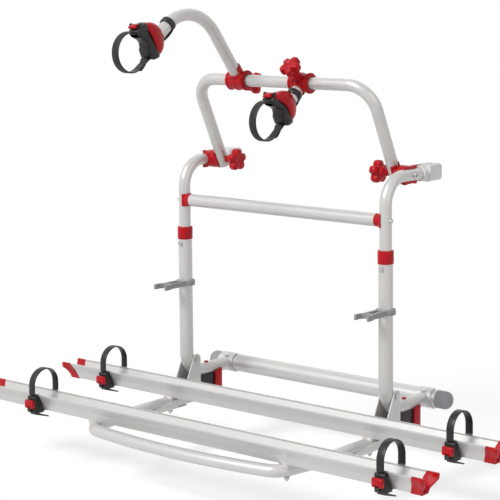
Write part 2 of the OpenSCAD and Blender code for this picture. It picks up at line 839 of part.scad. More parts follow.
module rail_bolt(floor_drop) {
    translate([0, 0, rail_wall]) cylinder(h = rail_head_h, r = rail_head_r);
    translate([0, 0, -floor_drop - nut_h - bolt_tip])
        cylinder(h = floor_drop + nut_h + bolt_tip + rail_wall, r = rail_bolt_r);
    translate([0, 0, -floor_drop - nut_h]) difference() {
        cylinder(h = nut_h, r = nut_r, $fn = hex_sides);
        translate([0, 0, -over]) cylinder(h = nut_h + 2 * over, r = rail_bolt_r);
    }
}

module rail_bolts() {
    color(steel) for (side = [-1, 1]) {
        translate([side * post_x, rear_rail_y, rail_z]) rail_bolt(saddle_h + leg_d + socket_wall);
        translate([side * front_bolt_x, front_rail_y, rail_z]) rail_bolt(saddle_h + leg_d);
    }
}

saddle_inset = 1;
// Room for a bend of the tube in a saddle
saddle_play = 0.3;

// A block under the rail, down to the middle of the tube's upper half
module rail_saddle() {
    w = leg_d - 2 * saddle_inset;
    h = saddle_h + leg_r / 2;
    translate([-w / 2, -rail_base_w / 2, -h]) cube([w, rail_base_w, h]);
}

module rail_saddles() {
    color(alu) difference() {
        for (side = [-1, 1]) {
            translate([side * post_x, rear_rail_y, rail_z]) rail_saddle();
            translate([side * front_bolt_x, front_rail_y, rail_z]) rotate([0, 0, -side * toe_angle])
                rail_saddle();
        }
        hoop_run(0, -saddle_play);
        for (side = [-1, 1]) {
            translate([side * post_x, rear_rail_y, rail_z])
                cylinder(h = leg_d, r = rail_bolt_r, center = true);
            translate([side * front_bolt_x, front_rail_y, rail_z])
                cylinder(h = leg_d, r = rail_bolt_r, center = true);
        }
    }
}

// Wheel straps

// Outline of the strap: the arch, the legs and the turn under the rail
function strap_outline(g, r) = [
    [r, arch_rise], [r, rail_h], [rail_kink_w / 2 + g, rail_kink_h], [rail_base_w / 2 + g, -g],
    [-rail_base_w / 2 - g, -g], [-rail_kink_w / 2 - g, rail_kink_h], [-r, rail_h], [-r, arch_rise]];

module strap_band() {
    difference() {
        union() {
            polygon(strap_outline(strap_gap + strap_t, arch_r));
            translate([0, arch_rise]) circle(r = arch_r);
        }
        polygon(strap_outline(strap_gap, arch_r - strap_t));
        translate([0, arch_rise]) circle(r = arch_r - strap_t);
    }
}

// The buckle on the front wall of the rail, measured from the middle of the rail base
buckle_out = 40;
buckle_top = 36;
buckle_low = -5;
buckle_edge_r = 4;
tail_t = 3;
tail_back = 6;
tail_drop = 21;

module buckle_outline() {
    inner = buckle_edge_r - buckle_out;
    difference() {
        union() {
            polygon([[inner, buckle_top], [-rail_top_w / 2 - strap_gap, buckle_top],
                     [-rail_base_w / 2 - strap_gap, buckle_low], [inner, buckle_low],
                     [-buckle_out, buckle_low + buckle_edge_r], [-buckle_out, buckle_top - buckle_edge_r]]);
            translate([inner, buckle_low + buckle_edge_r]) circle(r = buckle_edge_r);
            translate([inner, buckle_top - buckle_edge_r]) circle(r = buckle_edge_r);
        }
        polygon(rail_outer(strap_gap));
        strap_band();
    }
}

lever_t = 9;
lever_pivot = [-buckle_out - lever_t / 2 - move_gap, 5];
lever_pin_r = 2;
lever_len = 23;
// Tongue of the buckle, which holds the pin of the lever
tongue_w = 10;
tongue_t = 6;
pin_cheek = 2.4;

module lever_outline() {
    translate(lever_pivot) {
        circle(r = lever_t / 2);
        translate([-lever_t / 2, 0]) square([lever_t, lever_len - lever_t / 2]);
        translate([0, lever_len - lever_t / 2]) circle(r = lever_t / 2);
    }
}

module wheel_strap(x, y) {
    color(black) translate([x, y, rail_z]) {
        side_plate(strap_w) strap_band();
        side_plate(strap_w) polygon([
            [-arch_r + strap_t, buckle_low - tail_t], [-arch_r + strap_t, buckle_low + tail_t],
            [tail_back, -tail_drop + tail_t], [tail_back, -tail_drop]]);
        side_plate(buckle_w) buckle_outline();
        difference() {
            side_plate(tongue_w) translate(lever_pivot) {
                circle(r = lever_t / 2 - move_gap);
                translate([0, -tongue_t / 2]) square([lever_t, tongue_t]);
            }
            side_plate(2 * tongue_w) strap_band();
            translate([0, lever_pivot[0], lever_pivot[1]])
                x_rod(lever_pin_r + turn_play, 2 * tongue_w);
        }
    }
}

module strap_lever(x, y) {
    color(red) translate([x, y, rail_z]) {
        difference() {
            side_plate(buckle_w) lever_outline();
            side_plate(tongue_w + 2 * move_gap) translate(lever_pivot) circle(r = lever_t / 2 + over);
        }
        translate([0, lever_pivot[0], lever_pivot[1]]) x_rod(lever_pin_r, buckle_w - pin_cheek);
    }
}

// Top hoop, drawn upright about its tilt axis and then leaned forward

module at_hoop() {
    translate([0, tilt_y, 0]) rotate([top_hoop_lean, 0, 0]) children();
}

leg_foot = 16;

function top_steps() = [[top_hoop_h - top_corner_r + leg_foot], [top_corner_r, 90],
                        [hoop_leg_x - top_corner_r]];

module top_hoop() {
    color(alu) at_hoop() difference() {
        for (side = [-1, 1]) on_side(side)
            translate([hoop_leg_x, 0, -leg_foot]) rotate([0, 0, 180])
                pipe(post_r, tube_wall, top_steps());
        x_rod(tilt_bolt_r + turn_play, 2 * post_span);
    }
}

leg_end_top = 26;
leg_end_r = 20;

module hoop_leg_ends() {
    color(red) at_hoop() for (side = [-1, 1]) on_side(side) translate([hoop_leg_x, 0, 0]) difference() {
        union() {
            x_rod(leg_end_r, 2 * (post_r + leg_end_wall) - 2 * (leg_end_wall - leg_face));
            translate([-post_r - leg_end_wall, 0, 0]) x_rod(leg_end_r, leg_end_wall, false);
            translate([0, 0, -leg_foot]) cylinder(h = leg_foot + leg_end_top, r = post_r + leg_sleeve);
        }
        translate([0, 0, -leg_foot]) cylinder(h = 2 * leg_end_top + leg_foot, r = post_r);
        x_rod(tilt_bolt_r + turn_play, 4 * post_d);
        translate([post_r + leg_face, 0, 0]) translate([leg_end_r, 0, 0])
            cube([2 * leg_end_r, 4 * leg_end_r, 4 * leg_end_r], center = true);
    }
}
leg_face = 0.6;
leg_sleeve = 2.5;

lobes = 5;
lobe_r = 8.5;
hub_r = 15;
knob_edge = 1.6;
skirt_r = 11;
skirt_h = 7;

// A star knob along +Z: a skirt against the work and a lobed grip above it
module star_knob(bore_r, h) {
    grip_h = h - skirt_h;
    difference() {
        union() {
            cylinder(h = skirt_h, r = skirt_r);
            translate([0, 0, skirt_h]) {
                cylinder(h = grip_h, r = hub_r);
                for (i = [0 : lobes - 1]) rotate([0, 0, i * 360 / lobes])
                    translate([knob_d / 2 - lobe_r, 0, 0]) {
                        cylinder(h = knob_edge, r1 = lobe_r - knob_edge, r2 = lobe_r);
                        translate([0, 0, knob_edge]) cylinder(h = grip_h - 2 * knob_edge, r = lobe_r);
                        translate([0, 0, grip_h - knob_edge])
                            cylinder(h = knob_edge, r1 = lobe_r, r2 = lobe_r - knob_edge);
                    }
            }
        }
        if (bore_r > 0) translate([0, 0, -over]) cylinder(h = h - knob_edge + over, r = bore_r);
    }
}

module tilt_knob(side) {
    color(red) on_side(side) translate([knob_face_x, tilt_y, 0]) rotate([0, -90, 0])
        star_knob(tilt_bolt_r + turn_play, knob_h + 2 * knob_edge);
}

// Clamp arms. Each is drawn round the hoop bar, with the bar along X at the origin

hoop_bar_y = tilt_y - top_hoop_h * sin(top_hoop_lean);
hoop_bar_z = top_hoop_h * cos(top_hoop_lean);
liner_wall = 2.4;
liner_flange_t = 2.5;
liner_flange = 4.2;
liner_r = post_r + turn_play + liner_wall;
clamp_wall = 5.5;
clamp_r = liner_r + turn_play + clamp_wall;
clamp_side_play = 0.3;

module at_arm(x) {
    translate([x, hoop_bar_y, hoop_bar_z]) children();
}

// Points +Z of its children forward, turned up from level by angle
module aim(angle) {
    rotate([90 - angle, 0, 0]) children();
}

module arm_liner(x) {
    color(black) at_arm(x) difference() {
        union() {
            x_rod(liner_r, clamp_w + 2 * clamp_side_play);
            for (s = [-1, 1])
                translate([s * (clamp_w / 2 + clamp_side_play + liner_flange_t / 2), 0, 0])
                    x_rod(liner_r + liner_flange, liner_flange_t);
        }
        x_rod(post_r + turn_play, 2 * clamp_w);
    }
}

arm_socket_r = post_r + 4;
long_socket_end = 38;
short_socket_end = 24;
// Depth of the seat of an arm tube in its clamp
tube_seat = 3;
arm_tube_start = clamp_r - tube_seat;
stud_r = 4;
stud_boss_r = 11;
stud_boss_end = 38;
rib_t = 4;
rib_rise = 2;

// The front of a socket is cut away this far ahead of the tube's axis, to show the tube
socket_open = 4;

module arm_clamp(x, slope, socket_end, knob_angle) {
    color(red) at_arm(x) difference() {
        union() {
            x_rod(clamp_r, clamp_w);
            for (s = [-1, 0, 1]) translate([s * (clamp_w - rib_t) / 2, 0, 0])
                x_rod(clamp_r + rib_rise, rib_t);
            aim(slope) cylinder(h = socket_end, r = arm_socket_r);
            aim(knob_angle) cylinder(h = stud_boss_end, r = stud_boss_r);
        }
        x_rod(liner_r + turn_play, clamp_w + 2 * over);
        aim(slope) translate([0, 0, arm_tube_start]) cylinder(h = socket_end, r = post_r);
        aim(slope) translate([-arm_socket_r - over, -2 * arm_socket_r - socket_open, clamp_r + rib_rise])
            cube([2 * (arm_socket_r + over), 2 * arm_socket_r, socket_end]);
        aim(knob_angle) cylinder(h = stud_boss_end + over, r = stud_r + turn_play);
    }
}

module arm_tube(x, slope, steps) {
    color(alu) at_arm(x) aim(slope) translate([0, 0, arm_tube_start]) rotate([0, 0, -90])
        pipe(post_r, tube_wall, steps);
}

// Turn of the bend of the long arm
long_turn = 90;
long_steps = [[long_straight - arm_tube_start], [long_bend_r, long_turn], [long_tail]];
short_steps = [[short_len - arm_tube_start]];

module arm_knob(x, knob_angle) {
    color(red) at_arm(x) aim(knob_angle) {
        translate([0, 0, liner_r + move_gap])
            cylinder(h = stud_boss_end + skirt_h - liner_r, r = stud_r);
        translate([0, 0, stud_boss_end + move_gap]) star_knob(0, knob_h);
    }
}

// Puts the children at the end of an arm tube, with +Z along the tube
module at_long_end() {
    bend_x = long_bend_r * (1 - cos(long_turn));
    bend_z = long_bend_r * sin(long_turn);
    at_arm(long_arm_x) aim(long_slope) translate([0, 0, long_straight]) rotate([0, 0, -90])
        translate([bend_x, 0, bend_z]) rotate([0, long_turn, 0]) translate([0, 0, long_tail])
            rotate([0, 0, 90]) children();
}
module at_short_end() {
    at_arm(short_arm_x) aim(-short_slope) translate([0, 0, short_len]) children();
}

collar_w = 14;
collar_t = 3.2;
collar_back = 31;
link_w = 12;

// Black ring on the arm tube, with the link that runs back to the head
module head_collar() {
    difference() {
        union() {
            translate([0, 0, -collar_back]) cylinder(h = collar_w, r = post_r + collar_t);
            translate([-link_w / 2, -post_r - collar_t, -collar_back])
                cube([link_w, collar_t, collar_back - link_end]);
        }
        translate([0, 0, -2 * collar_back]) cylinder(h = 4 * collar_back, r = post_r);
    }
}
link_end = 8;

// Head pieces are outlines with F forward and U up, turned up from the tube by head_tilt
module head_plate(w) {
    rotate([-head_tilt, 0, 0]) rotate([0, -90, 0]) linear_extrude(height = w, center = true)
        children();
}

// Side outline of the red shell, as places along and above the tube end
shell_back = -11;
shell_front = 30;
shell_top = 34;
shell_low = -36;
shell_dome = [13, 10];
shell_dome_r = 24;
shell_brow = [56, 46];
shell_foot = 10;
dome_from = 200;
dome_to = 95;
foot_from = 270;
foot_to = 205;
arc_steps = 10;

function arc(centre, r, from, to) = [for (i = [0 : arc_steps])
    centre + r * [cos(from + (to - from) * i / arc_steps), sin(from + (to - from) * i / arc_steps)]];

module shell_outline() {
    polygon(concat(
        arc(shell_dome, shell_dome_r, dome_from, dome_to), [shell_brow],
        [[shell_front + shell_foot, shell_top], [shell_front, shell_foot], [shell_front, shell_low]],
        arc([shell_foot, shell_low + shell_foot], shell_foot, foot_from, foot_to)));
}

loop_c = [98, 4];
// Depth of jaw left in front of the strap that it holds
jaw_lip = 2;
jaw_w = 42;

module loop_ring() {
    translate(loop_c) difference() {
        circle(r = loop_r);
        circle(r = loop_r - strap_t);
    }
}

// How far a corner of an outline is sunk into the arc that it runs out of
sink = 2;
jaw_lobe = [67, 39];
jaw_lobe_r = 10;
jaw_block = [56, -34];
jaw_block_r = 9;
jaw_notch = [45, -7];
// Recess in front of the upper slot, where the strap comes out
recess_low = 20;
recess_high = 37;

module jaw_outline() {
    difference() {
        union() {
            translate(jaw_lobe) circle(r = jaw_lobe_r);
            translate(jaw_block) circle(r = jaw_block_r);
            polygon([[shell_front, shell_low], [shell_front, shell_foot],
                     [shell_front + shell_foot, shell_top], shell_brow,
                     jaw_lobe + [-sink, jaw_lobe_r - sink], jaw_lobe + [jaw_lobe_r - sink, -sink],
                     jaw_notch, jaw_block + [jaw_block_r - sink, sink],
                     jaw_block - [sink, jaw_block_r - sink]]);
        }
        translate(loop_c) circle(r = loop_r - strap_t - jaw_lip);
    }
}

// The loop is open behind, between two lines that meet the tube end at these heights, and
// its free end lies outside it
loop_open_high = 40;
loop_open_low = -30;
free_end_from = 240;
free_end_to = 286;

module loop_outline() {
    difference() {
        loop_ring();
        polygon([loop_c, [0, loop_open_high], [0, loop_open_low]]);
    }
    translate(loop_c) intersection() {
        difference() {
            circle(r = loop_r + strap_t);
            circle(r = loop_r);
        }
        polygon([[0, 0], 2 * loop_r * [cos(free_end_from), sin(free_end_from)],
                 2 * loop_r * [cos(free_end_to), sin(free_end_to)]]);
    }
}

// Rounds a head piece: its crown and foot seen from the front, its back seen from above
head_crown_r = 46;
head_crown_u = 3;
head_back_r = 36;

module rounded_head(back) {
    intersection() {
        children();
        rotate([-head_tilt, 0, 0]) translate([0, head_crown_u, -head_crown_r])
            cylinder(h = 4 * head_crown_r, r = head_crown_r);
        if (back)
            rotate([-head_tilt, 0, 0]) translate([0, 0, shell_back + head_back_r]) rotate([90, 0, 0])
                cylinder(h = 4 * head_crown_r, r = head_back_r, center = true);
    }
}

module head_shell() {
    difference() {
        rounded_head(true) head_plate(head_w) shell_outline();
        translate([0, 0, -2 * collar_back]) cylinder(h = 2 * collar_back, r = post_r);
        head_rod(head_lever_at, head_lever_ear_r, 2 * head_w);
    }
}

// A rod across the head at a place along and above the tube end
module head_rod(place, r, w) {
    rotate([-head_tilt, 0, 0]) translate([0, place[1], place[0]]) x_rod(r, w);
}

module head_jaw() {
    difference() {
        union() {
            rounded_head(false) head_plate(jaw_w) jaw_outline();
            head_rod(head_lever_at, head_lever_ear_r, jaw_w);
        }
        head_plate(head_strap_w) loop_ring();
        head_plate(head_strap_w + 2 * move_gap)
            translate([jaw_block[0], recess_low]) square([loop_r, recess_high - recess_low]);
        head_plate(head_strap_w + 2 * move_gap) head_lever_outline(move_gap);
        head_rod(head_lever_at, lever_pin_r + turn_play, jaw_w - pin_cheek);
        head_rod(head_lever_at, head_lever_ear_r + move_gap, head_strap_w + 2 * move_gap);
    }
}

module head_strap() {
    head_plate(head_strap_w) loop_outline();
}

head_lever_at = [57, 49];
head_lever_ear_r = 5;
head_lever_t = 4;
head_lever_len = 17;

module head_lever_outline(g) {
    translate(head_lever_at) {
        circle(r = head_lever_t + g);
        translate([0, -g]) square([head_lever_len + g, head_lever_t + 2 * g]);
    }
}

module head_lever() {
    head_plate(head_strap_w) head_lever_outline(0);
    head_rod(head_lever_at, lever_pin_r, jaw_w - pin_cheek - move_gap);
}

module long_arm_collar() { color(black) at_long_end() head_collar(); }
module long_arm_shell() { color(red) at_long_end() head_shell(); }
module long_arm_jaw() { color(black) at_long_end() head_jaw(); }
module long_arm_strap() { color(black) at_long_end() head_strap(); }
module long_arm_lever() { color(red) at_long_end() head_lever(); }
module short_arm_collar() { color(black) at_short_end() head_collar(); }
module short_arm_shell() { color(red) at_short_end() head_shell(); }
module short_arm_jaw() { color(black) at_short_end() head_jaw(); }
module short_arm_strap() { color(black) at_short_end() head_strap(); }
module short_arm_lever() { color(red) at_short_end() head_lever(); }

long_knob_angle = 190;
short_knob_angle = 43;

module long_arm_clamp() { arm_clamp(long_arm_x, long_slope, long_socket_end, long_knob_angle); }
module short_arm_clamp() { arm_clamp(short_arm_x, -short_slope, short_socket_end, short_knob_angle); }

upper_post(-1);  // upper_post_left
upper_post(1);  // upper_post_right
cross_tube();
cross_tube_ends();
frame_clamp(-1);  // frame_clamp_left
frame_clamp(1);  // frame_clamp_right
wall_bracket(-1);  // wall_bracket_left
wall_bracket(1);  // wall_bracket_right
upper_frame_bolts();
lower_post(-1);  // lower_post_left
lower_post(1);  // lower_post_right
lower_crossbar();
crossbar_caps();
post_collars();
lower_frame_screws();
fork_clip(-1);  // fork_clip_left
fork_clip(1);  // fork_clip_right
hinge_pins();
latch_bodies();
latch_buttons();
latch_lever(-1);  // latch_lever_left
latch_lever(1);  // latch_lever_right
hinge_bracket(-1);  // hinge_bracket_left
hinge_bracket(1);  // hinge_bracket_right
platform_hoop();
rail(front_rail_y, front_bolt_x);  // rail_front
rail(rear_rail_y, post_x);  // rail_rear
rail_end_caps();
rail_bolts();
rail_saddles();
wheel_strap(strap_front_left_x, front_rail_y);  // wheel_strap_front_left
wheel_strap(strap_front_right_x, front_rail_y);  // wheel_strap_front_right
wheel_strap(strap_rear_left_x, rear_rail_y);  // wheel_strap_rear_left
wheel_strap(strap_rear_right_x, rear_rail_y);  // wheel_strap_rear_right
strap_lever(strap_front_left_x, front_rail_y);  // strap_lever_front_left
strap_lever(strap_front_right_x, front_rail_y);  // strap_lever_front_right
strap_lever(strap_rear_left_x, rear_rail_y);  // strap_lever_rear_left
strap_lever(strap_rear_right_x, rear_rail_y);  // strap_lever_rear_right
top_hoop();
hoop_leg_ends();
tilt_knob(-1);  // tilt_knob_left
tilt_knob(1);  // tilt_knob_right
arm_liner(long_arm_x);  // long_arm_liner
long_arm_clamp();
arm_tube(long_arm_x, long_slope, long_steps);  // long_arm_tube
long_arm_collar();
long_arm_shell();
long_arm_jaw();
long_arm_strap();
long_arm_lever();
arm_knob(long_arm_x, long_knob_angle);  // long_arm_knob
arm_liner(short_arm_x);  // short_arm_liner
short_arm_clamp();
arm_tube(short_arm_x, -short_slope, short_steps);  // short_arm_tube
short_arm_collar();
short_arm_shell();
short_arm_jaw();
short_arm_strap();
short_arm_lever();
arm_knob(short_arm_x, short_knob_angle);  // short_arm_knob
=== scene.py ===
import json
import math

import bmesh
import bpy
from mathutils import Matrix, Vector


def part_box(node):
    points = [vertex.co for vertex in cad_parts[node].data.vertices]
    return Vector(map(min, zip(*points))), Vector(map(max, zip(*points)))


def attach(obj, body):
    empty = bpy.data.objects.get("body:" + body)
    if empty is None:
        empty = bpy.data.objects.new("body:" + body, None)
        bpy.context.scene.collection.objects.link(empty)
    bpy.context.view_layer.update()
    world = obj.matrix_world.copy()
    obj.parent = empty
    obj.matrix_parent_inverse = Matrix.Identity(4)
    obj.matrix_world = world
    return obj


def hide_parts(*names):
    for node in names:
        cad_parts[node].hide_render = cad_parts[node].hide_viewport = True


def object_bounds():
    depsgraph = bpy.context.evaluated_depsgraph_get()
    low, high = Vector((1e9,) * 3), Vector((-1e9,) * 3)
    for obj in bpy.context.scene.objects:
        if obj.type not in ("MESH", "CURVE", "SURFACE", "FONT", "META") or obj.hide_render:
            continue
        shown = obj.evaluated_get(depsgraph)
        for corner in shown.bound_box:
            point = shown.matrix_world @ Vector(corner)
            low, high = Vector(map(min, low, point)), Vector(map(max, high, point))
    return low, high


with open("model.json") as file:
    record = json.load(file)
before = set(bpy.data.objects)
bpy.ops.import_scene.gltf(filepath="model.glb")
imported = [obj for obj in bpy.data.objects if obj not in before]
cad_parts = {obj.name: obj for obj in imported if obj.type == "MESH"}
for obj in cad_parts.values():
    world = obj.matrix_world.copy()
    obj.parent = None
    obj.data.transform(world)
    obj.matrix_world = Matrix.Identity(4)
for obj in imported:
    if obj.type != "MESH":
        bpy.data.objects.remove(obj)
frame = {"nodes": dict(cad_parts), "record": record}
cad_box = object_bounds()
nodes = frame["nodes"]
record = frame["record"]
body_of_node = {n: b for b, members in record["behaviour"]["bodies"].items() for n in members}
slot_of = {s["node"]: s["material_slot"] for s in record["subparts"]}
scene = bpy.context.scene

# The photograph's camera, as fitted to the posts, rails and tubes of the object.
# Its frame is 500 pixels each way, and the fit is for the point midway between the
# feet of the posts, which stands this far ahead of the wall and below the brackets.
IMAGE = 500
FOCAL_PX = 1660.9
CENTRE_PX = (332.5, 151.2)
FOOT_PX = (281.7, 389.8)
FOOT_DEPTH = 3.8986
FOOT_PLACE = Vector((0, -0.188, -0.520))
YAW, PITCH, ROLL = (math.radians(a) for a in (37.891, 5.954, -0.233))
SENSOR_MM = 36
FAR_CLIP = 50


def make_camera():
    ahead = Vector((-math.sin(YAW) * math.cos(PITCH), math.cos(YAW) * math.cos(PITCH),
                    -math.sin(PITCH)))
    level = Vector((math.cos(YAW), math.sin(YAW), 0))
    upright = level.cross(ahead)
    right = level * math.cos(ROLL) + upright * math.sin(ROLL)
    up = upright * math.cos(ROLL) - level * math.sin(ROLL)
    across = (FOOT_PX[0] - CENTRE_PX[0]) / FOCAL_PX * FOOT_DEPTH
    above = (CENTRE_PX[1] - FOOT_PX[1]) / FOCAL_PX * FOOT_DEPTH
    place = FOOT_PLACE - right * across - up * above - ahead * FOOT_DEPTH
    axes = Matrix((right, up, -ahead)).transposed().to_4x4()
    camera = bpy.data.objects.new("camera", bpy.data.cameras.new("camera"))
    scene.collection.objects.link(camera)
    camera.matrix_world = Matrix.Translation(place) @ axes
    camera.data.sensor_width = SENSOR_MM
    camera.data.lens = FOCAL_PX / IMAGE * SENSOR_MM
    camera.data.shift_x = (IMAGE / 2 - CENTRE_PX[0]) / IMAGE
    camera.data.shift_y = (CENTRE_PX[1] - IMAGE / 2) / IMAGE
    camera.data.clip_end = FAR_CLIP
    scene.camera = camera


make_camera()


# Materials

# Where on a colour ramp its two colours lie
RAMP_ENDS = (0.3, 0.7)
BUMP_STRENGTH = 0.5
# A surface's colour varies in clouds this many times coarser than its grain
CLOUD_SIZE = 12
CLOUD_DETAIL = 3
GRAIN_DETAIL = 5
ROUGH_SPREAD = 0.06


def new_material(name):
    material = bpy.data.materials.new(name)
    material.use_nodes = True
    return material, material.node_tree, material.node_tree.nodes["Principled BSDF"]


def noise(tree, scale, detail, stretch=(1, 1, 1)):
    """Noise in object space, drawn out along an axis where stretch is small there."""
    place = tree.nodes.new("ShaderNodeTexCoord")
    mapping = tree.nodes.new("ShaderNodeMapping")
    mapping.inputs["Scale"].default_value = stretch
    texture = tree.nodes.new("ShaderNodeTexNoise")
    texture.inputs["Scale"].default_value = scale
    texture.inputs["Detail"].default_value = detail
    tree.links.new(place.outputs["Object"], mapping.inputs["Vector"])
    tree.links.new(mapping.outputs["Vector"], texture.inputs["Vector"])
    return texture.outputs["Fac"]


def ramp(tree, value, low, high):
    """A colour ramp from one colour to another."""
    node = tree.nodes.new("ShaderNodeValToRGB")
    for element, at, colour in zip(node.color_ramp.elements, RAMP_ENDS, (low, high)):
        element.position = at
        element.color = (*colour, 1)
    tree.links.new(value, node.inputs["Fac"])
    return node.outputs["Color"]


def spread(tree, value, low, high):
    """A value from 0 to 1 brought to lie between low and high."""
    node = tree.nodes.new("ShaderNodeMapRange")
    node.inputs["To Min"].default_value = low
    node.inputs["To Max"].default_value = high
    tree.links.new(value, node.inputs["Value"])
    return node.outputs["Result"]


def bump(tree, shader, value, distance):
    """A relief of the given depth in metres."""
    node = tree.nodes.new("ShaderNodeBump")
    node.inputs["Strength"].default_value = BUMP_STRENGTH
    node.inputs["Distance"].default_value = distance
    tree.links.new(value, node.inputs["Height"])
    tree.links.new(node.outputs["Normal"], shader.inputs["Normal"])


def tone(colour, factor):
    return tuple(min(1, c * factor) for c in colour)


def surface(name, colour, rough, grain, depth, metal=0.0, contrast=0.08, stretch=(1, 1, 1),
            specular=0.5):
    """A moulded, anodised or painted surface whose colour, gloss and grain vary a little."""
    material, tree, shader = new_material(name)
    clouds = noise(tree, grain / CLOUD_SIZE, CLOUD_DETAIL)
    fine = noise(tree, grain, GRAIN_DETAIL, stretch)
    tree.links.new(ramp(tree, clouds, tone(colour, 1 - contrast), tone(colour, 1 + contrast)),
                   shader.inputs["Base Color"])
    tree.links.new(spread(tree, fine, rough - ROUGH_SPREAD, rough + ROUGH_SPREAD),
                   shader.inputs["Roughness"])
    shader.inputs["Metallic"].default_value = metal
    shader.inputs["Specular IOR Level"].default_value = specular
    bump(tree, shader, fine, depth)
    return material


ALU = (0.66, 0.65, 0.635)
RED = (0.52, 0.006, 0.013)
BLACK = (0.018, 0.015, 0.016)
GREY = (0.36, 0.36, 0.38)
WHITE = (0.82, 0.82, 0.81)
ZINC = (0.50, 0.50, 0.51)
materials = {
    "aluminium": surface("satin_anodised_aluminium", ALU, 0.36, 900, 0.00003, metal=0.3,
                         contrast=0.012, stretch=(0.15, 1, 1)),
    "red_plastic": surface("red_moulded_plastic", RED, 0.36, 700, 0.00005, contrast=0.06,
                           specular=0.22),
    "black_plastic": surface("black_strap_plastic", BLACK, 0.40, 800, 0.00006, specular=0.35),
    "grey_plastic": surface("grained_grey_plastic", GREY, 0.55, 1400, 0.00008, contrast=0.05,
                            specular=0.35),
    "bracket_white": surface("white_powder_coat", WHITE, 0.45, 600, 0.00008, contrast=0.02),
    "steel": surface("zinc_plated_steel", ZINC, 0.32, 900, 0.00003, metal=0.9),
}


def dress(obj, slot):
    obj.data.materials.clear()
    obj.data.materials.append(materials[slot])


for name, node in nodes.items():
    dress(node, slot_of[name])


# Pieces that take the place of CAD nodes whose real edges are moulded soft

# Corners of a mesh that are nearer than this are one corner
WELD = 0.000005
# Neighbours that turn by less than this many degrees are one flat face
FLAT_WITHIN = 0.5
VOXEL = 0.0008
# Rounds of relaxing, for most mouldings and for the softest
ROUNDS = 4
SOFT_ROUNDS = 9
EDGE_ROUNDING = 0.0008
COLLAR_ROUNDING = 0.002
BEVEL_SEGMENTS = 2
# Degrees from which an edge stays sharp, on bevelled CAD nodes, on what is cut or shaped from
# rows of sections, and on turned pieces and the head levers
EDGED_FROM = 35
SHAPED_FROM = 40
TURNED_FROM = 50


def stand_in(prefix, node, mesh):
    """A piece that takes the place of a CAD node, on its body and with its finish."""
    piece = bpy.data.objects.new(prefix + node, mesh)
    scene.collection.objects.link(piece)
    body, slot = body_of_node[node], slot_of[node]
    dress(piece, slot)
    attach(piece, body)
    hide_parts(node)
    return piece


def work_in(piece):
    """Works the modifiers of a piece into its mesh and shades it smooth."""
    graph = bpy.context.evaluated_depsgraph_get()
    mesh = bpy.data.meshes.new_from_object(piece.evaluated_get(graph), depsgraph=graph)
    piece.modifiers.clear()
    piece.data = mesh
    mesh.shade_smooth()


def keep_sharp(piece, degrees):
    """Keeps the edges sharp that turn by more than so many degrees."""
    piece.data.set_sharp_from_angle(angle=math.radians(degrees))


def bevelled(piece, width, degrees):
    """Rounds the edges that turn by more than so many degrees by a narrow bevel."""
    bevel = piece.modifiers.new("bevel", "BEVEL")
    bevel.width = width
    bevel.segments = BEVEL_SEGMENTS
    bevel.limit_method = "ANGLE"
    bevel.angle_limit = math.radians(degrees)
    work_in(piece)
    keep_sharp(piece, degrees)


def copy_of(node, prefix):
    """A welded copy of a CAD node that stands for it."""
    mesh = nodes[node].data.copy()
    weld = bmesh.new()
    weld.from_mesh(mesh)
    bmesh.ops.remove_doubles(weld, verts=weld.verts, dist=WELD)
    weld.to_mesh(mesh)
    weld.free()
    return stand_in(prefix, node, mesh)


def moulded(node, rounds=ROUNDS):
    """A node made again from voxels and relaxed, as a thick moulding with round edges."""
    piece = copy_of(node, "moulded_")
    remesh = piece.modifiers.new("remesh", "REMESH")
    remesh.mode = "VOXEL"
    remesh.voxel_size = VOXEL
    relax = piece.modifiers.new("relax", "SMOOTH")
    relax.iterations = rounds
    work_in(piece)
    return piece


def edged(node, width=EDGE_ROUNDING):
    """A node whose sharp edges are rounded by a narrow bevel."""
    piece = copy_of(node, "edged_")
    flat = bmesh.new()
    flat.from_mesh(piece.data)
    bmesh.ops.dissolve_limit(flat, angle_limit=math.radians(FLAT_WITHIN), verts=flat.verts,
                             edges=flat.edges)
    flat.to_mesh(piece.data)
    flat.free()
    bevelled(piece, width, EDGED_FROM)
    return piece


STRAP_PLACES = [rail + "_" + side for rail in ("front", "rear") for side in ("left", "right")]

for name in ("frame_clamp_left", "frame_clamp_right", "cross_tube_ends"):
    moulded(name, SOFT_ROUNDS)
for name in ("latch_bodies", "latch_lever_left", "latch_lever_right", "wall_bracket_left",
             "wall_bracket_right", "fork_clip_left", "fork_clip_right", "crossbar_caps"):
    edged(name)
for place in STRAP_PLACES:
    edged("wheel_strap_" + place)
edged("post_collars", COLLAR_ROUNDING)


# The lever of a wheel strap is shorter and rounder than its solid

STRAP_LEVER_SHARE = 0.72
STRAP_LEVER_ROUNDING = 0.0024

for place in STRAP_PLACES:
    name = "strap_lever_" + place
    lever = edged(name, STRAP_LEVER_ROUNDING)
    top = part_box(name)[1].z
    for vertex in lever.data.vertices:
        vertex.co.z = top - (top - vertex.co.z) * STRAP_LEVER_SHARE


# Pieces made afresh from rings of points

RING_POINTS = 64
# A ring that closes on itself is joined to its first row within this distance
JOIN = 0.000001


def circle(count):
    """Angles evenly round a circle."""
    return [2 * math.pi * i / count for i in range(count)]


def skin(mesh, rings, close_ends=True):
    """Adds a closed skin over rings that have the same number of points each."""
    rows = [[mesh.verts.new(p) for p in ring] for ring in rings]
    count = len(rows[0])
    for low, high in zip(rows, rows[1:]):
        for i in range(count):
            j = (i + 1) % count
            mesh.faces.new((low[i], low[j], high[j], high[i]))
    if close_ends:
        mesh.faces.new(rows[0][::-1])
        mesh.faces.new(rows[-1])
    return rows


